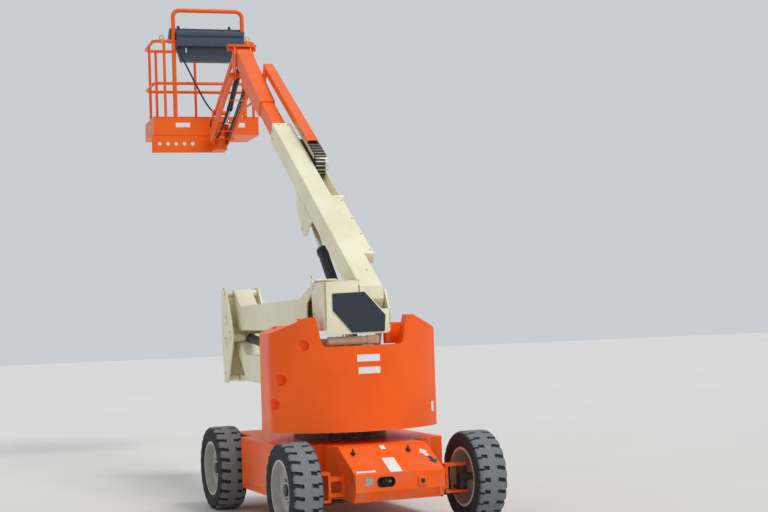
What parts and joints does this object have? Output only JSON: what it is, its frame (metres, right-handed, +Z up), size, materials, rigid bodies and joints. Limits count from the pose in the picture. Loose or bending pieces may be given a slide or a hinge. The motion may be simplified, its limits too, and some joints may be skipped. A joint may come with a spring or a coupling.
{
  "type": "articulating boom lift",
  "caption": "Self-propelled battery boom lift with a folding tower, a telescopic boom, a jib and a railed platform",
  "frame": {"origin": "on the ground, below the middle of the bounding box, with the machine standing on its wheels", "axes": "+X towards the platform along the chassis, +Y to the left, +Z up"},
  "size_m": [8.0096, 2.0641, 5.4462],
  "materials": {
    "orange_paint": "gloss enamel, weathered",
    "orange_light": "gloss enamel, sunlit",
    "cream_paint": "gloss enamel, weathered",
    "grey_paint": "semi-gloss",
    "dark_paint": "satin",
    "navy_cover": "satin moulded",
    "slate_cover": "satin",
    "black_plastic": "matte",
    "chrome_rod": "polished",
    "steel": "raw, oiled",
    "tyre_rubber": "matte, dusty"
  },
  "bodies": {
    "chassis": {"chassis_frame": "orange_paint", "charger_hood": "orange_paint", "charging_inlet": "black_plastic", "drive_end_cover": "orange_paint", "drive_hubs": "dark_paint", "slew_ring": "steel", "steer_axle": "orange_paint"},
    "steer_left": {"knuckle_left": "dark_paint"},
    "steer_right": {"knuckle_right": "dark_paint"},
    "tie_rod": {"tie_rod": "dark_paint"},
    "wheel_front_left": {"rim_front_left": "grey_paint", "tyre_front_left": "tyre_rubber"},
    "wheel_front_right": {"rim_front_right": "grey_paint", "tyre_front_right": "tyre_rubber"},
    "wheel_rear_left": {"rim_rear_left": "grey_paint", "tyre_rear_left": "tyre_rubber"},
    "wheel_rear_right": {"rim_rear_right": "grey_paint", "tyre_rear_right": "tyre_rubber"},
    "turntable": {"turntable_frame": "orange_paint", "counterweight": "orange_paint", "side_cover_left": "orange_paint", "side_cover_right": "orange_paint"},
    "lower_arm": {"lower_arm": "cream_paint"},
    "lower_link": {"lower_link": "cream_paint"},
    "tower_cylinder_barrel": {"tower_cylinder_barrel": "dark_paint"},
    "tower_cylinder_rod": {"tower_cylinder_rod": "chrome_rod"},
    "tower_knuckle": {"tower_knuckle": "cream_paint"},
    "upper_arm": {"upper_arm": "cream_paint"},
    "upper_link": {"upper_link": "cream_paint"},
    "upright": {"upright": "cream_paint", "upright_cover": "navy_cover"},
    "base_boom": {"base_boom": "cream_paint"},
    "lift_cylinder_barrel": {"lift_cylinder_barrel": "dark_paint"},
    "lift_cylinder_rod": {"lift_cylinder_rod": "chrome_rod"},
    "fly_boom": {"fly_boom": "orange_light", "hose_rail": "orange_light"},
    "power_track": {"power_track": "black_plastic"},
    "level_bracket": {"level_bracket": "orange_light"},
    "jib_arm": {"jib_arm": "orange_light"},
    "jib_link": {"jib_link": "orange_light"},
    "jib_cylinder_barrel": {"jib_cylinder_barrel": "dark_paint"},
    "jib_cylinder_rod": {"jib_cylinder_rod": "chrome_rod"},
    "jib_head": {"jib_head": "orange_light"},
    "platform": {"platform_mount": "orange_light", "platform_floor": "orange_light", "platform_rails": "orange_light", "control_console": "slate_cover"},
    "platform_gate": {"platform_gate": "orange_light"}
  },
  "joints": [
    {"name": "steer_left", "type": "hinge", "parent": "chassis", "child": "steer_left", "pos_m": [-3.645, 0.797, 0.36], "axis": [0, 0, 1], "range_deg": [-35, 35]},
    {"name": "steer_right", "type": "hinge", "parent": "chassis", "child": "steer_right", "pos_m": [-3.645, -0.483, 0.36], "axis": [0, 0, 1], "range_deg": [-35.05, 35.05]},
    {"name": "tie_rod", "type": "slide", "parent": "chassis", "child": "tie_rod", "axis": [0, 1, 0], "range_m": [-0.0641, 0.0641]},
    {"name": "wheel_front_left", "type": "hinge", "parent": "chassis", "child": "wheel_front_left", "pos_m": [-1.645, 0.912, 0.36], "axis": [0, 1, 0], "continuous": true},
    {"name": "wheel_front_right", "type": "hinge", "parent": "chassis", "child": "wheel_front_right", "pos_m": [-1.645, -0.598, 0.36], "axis": [0, 1, 0], "continuous": true},
    {"name": "wheel_rear_left", "type": "hinge", "parent": "steer_left", "child": "wheel_rear_left", "pos_m": [-3.645, 0.912, 0.36], "axis": [0, 1, 0], "continuous": true},
    {"name": "wheel_rear_right", "type": "hinge", "parent": "steer_right", "child": "wheel_rear_right", "pos_m": [-3.645, -0.598, 0.36], "axis": [0, 1, 0], "continuous": true},
    {"name": "slew", "type": "hinge", "parent": "chassis", "child": "turntable", "pos_m": [-2.609, 0.157, 0.68], "axis": [0, 0, 1], "range_deg": [-180, 180]},
    {"name": "tower_lift", "type": "hinge", "parent": "turntable", "child": "lower_arm", "pos_m": [-3.06974, 0.39807, 1.44], "axis": [-0.0872, -0.9962, 0], "range_deg": [0, 58]},
    {"name": "lower_link", "type": "hinge", "parent": "turntable", "child": "lower_link", "pos_m": [-3.00997, 0.39284, 1.09], "axis": [-0.0872, -0.9962, 0], "range_deg": [-0.05, 58.05]},
    {"name": "tower_cylinder_swing", "type": "hinge", "parent": "lower_arm", "child": "tower_cylinder_barrel", "pos_m": [-1.09778, 0.22555, 1.3845], "axis": [-0.0872, -0.9962, 0], "range_deg": [-0.05, 6.27]},
    {"name": "tower_cylinder_stroke", "type": "slide", "parent": "tower_cylinder_barrel", "child": "tower_cylinder_rod", "axis": [0.9942, -0.087, 0.0626], "range_m": [-0.001, 0.18878]},
    {"name": "tower_knuckle", "type": "hinge", "parent": "lower_arm", "child": "tower_knuckle", "pos_m": [0.43664, 0.0913, 1.4], "axis": [-0.0872, -0.9962, 0], "range_deg": [-58.05, 0.05]},
    {"name": "upper_arm", "type": "hinge", "parent": "tower_knuckle", "child": "upper_arm", "pos_m": [0.46652, 0.08869, 1.915], "axis": [-0.0872, -0.9962, 0], "range_deg": [-58.05, 0.05]},
    {"name": "upper_link", "type": "hinge", "parent": "tower_knuckle", "child": "upper_link", "pos_m": [0.41671, 0.09305, 1.62], "axis": [-0.0872, -0.9962, 0], "range_deg": [-58.05, 0.05]},
    {"name": "upright", "type": "hinge", "parent": "upper_arm", "child": "upright", "pos_m": [-3.04007, 0.39548, 1.925], "axis": [-0.0872, -0.9962, 0], "range_deg": [-0.05, 58.05]},
    {"name": "boom_lift", "type": "hinge", "parent": "upright", "child": "base_boom", "pos_m": [-3.27498, 0.1199, 1.8], "axis": [-0.0872, -0.9962, 0], "range_deg": [-34.1, 47.9]},
    {"name": "lift_cylinder_swing", "type": "hinge", "parent": "upright", "child": "lift_cylinder_barrel", "pos_m": [-3.01597, 0.09724, 1.25], "axis": [-0.0872, -0.9962, 0], "range_deg": [-30.57, 42.92]},
    {"name": "lift_cylinder_stroke", "type": "slide", "parent": "lift_cylinder_barrel", "child": "lift_cylinder_rod", "axis": [0.7594, -0.0664, 0.6472], "range_m": [-0.34619, 0.48589]},
    {"name": "fly_extend", "type": "slide", "parent": "base_boom", "child": "fly_boom", "axis": [0.8704, -0.0762, 0.4863], "range_m": [-0.66, 0.2]},
    {"name": "power_track", "type": "slide", "parent": "base_boom", "child": "power_track", "axis": [0.8704, -0.0762, 0.4863], "range_m": [-0.331, 0.101]},
    {"name": "level_bracket", "type": "hinge", "parent": "fly_boom", "child": "level_bracket", "pos_m": [1.4573, -0.29412, 4.51268], "axis": [-0.0872, -0.9962, 0], "range_deg": [-47.95, 34.15]},
    {"name": "jib_lift", "type": "hinge", "parent": "level_bracket", "child": "jib_arm", "pos_m": [1.50711, -0.29848, 4.35968], "axis": [-0.0872, -0.9962, 0], "range_deg": [-53.5, 90.5]},
    {"name": "jib_link", "type": "hinge", "parent": "level_bracket", "child": "jib_link", "pos_m": [1.51707, -0.29935, 4.65968], "axis": [-0.0872, -0.9962, 0], "range_deg": [-53.55, 90.55]},
    {"name": "jib_cylinder_swing", "type": "hinge", "parent": "level_bracket", "child": "jib_cylinder_barrel", "pos_m": [1.56688, -0.30371, 4.52968], "axis": [-0.0872, -0.9962, 0], "range_deg": [-54.62, 92.36]},
    {"name": "jib_cylinder_stroke", "type": "slide", "parent": "jib_cylinder_barrel", "child": "jib_cylinder_rod", "axis": [0.8647, -0.0756, -0.4966], "range_m": [-0.1937, 0.11492]},
    {"name": "jib_head", "type": "hinge", "parent": "jib_arm", "child": "jib_head", "pos_m": [2.90677, -0.42093, 3.83437], "axis": [-0.0872, -0.9962, 0], "range_deg": [-90.55, 53.55]},
    {"name": "platform_turn", "type": "hinge", "parent": "jib_head", "child": "platform", "pos_m": [3.02133, -0.43095, 3.83437], "axis": [0, 0, 1], "range_deg": [-90, 90]},
    {"name": "gate", "type": "hinge", "parent": "platform", "child": "platform_gate", "pos_m": [3.30641, -0.95881, 3.83437], "axis": [0, 0, 1], "range_deg": [0, 90]}
  ],
  "couplings": [
    {"joint": "steer_right", "follows": "steer_left", "ratio": 1},
    {"joint": "tie_rod", "follows": "steer_left", "m_per_rad": 0.1033},
    {"joint": "lower_link", "follows": "tower_lift", "ratio": 1},
    {"joint": "tower_cylinder_swing", "follows": "tower_lift", "ratio": 0.1073},
    {"joint": "tower_cylinder_stroke", "follows": "tower_lift", "m_per_rad": 0.1855},
    {"joint": "tower_knuckle", "follows": "tower_lift", "ratio": -1},
    {"joint": "upper_arm", "follows": "tower_lift", "ratio": -1},
    {"joint": "upper_link", "follows": "tower_lift", "ratio": -1},
    {"joint": "upright", "follows": "tower_lift", "ratio": 1},
    {"joint": "lift_cylinder_swing", "follows": "boom_lift", "ratio": 0.895},
    {"joint": "lift_cylinder_stroke", "follows": "boom_lift", "m_per_rad": 0.58},
    {"joint": "power_track", "follows": "fly_extend", "ratio": 0.5},
    {"joint": "level_bracket", "follows": "boom_lift", "ratio": -1},
    {"joint": "jib_link", "follows": "jib_lift", "ratio": 1},
    {"joint": "jib_cylinder_swing", "follows": "jib_lift", "ratio": 1.02},
    {"joint": "jib_cylinder_stroke", "follows": "jib_lift", "m_per_rad": -0.122},
    {"joint": "jib_head", "follows": "jib_lift", "ratio": -1}
  ]
}
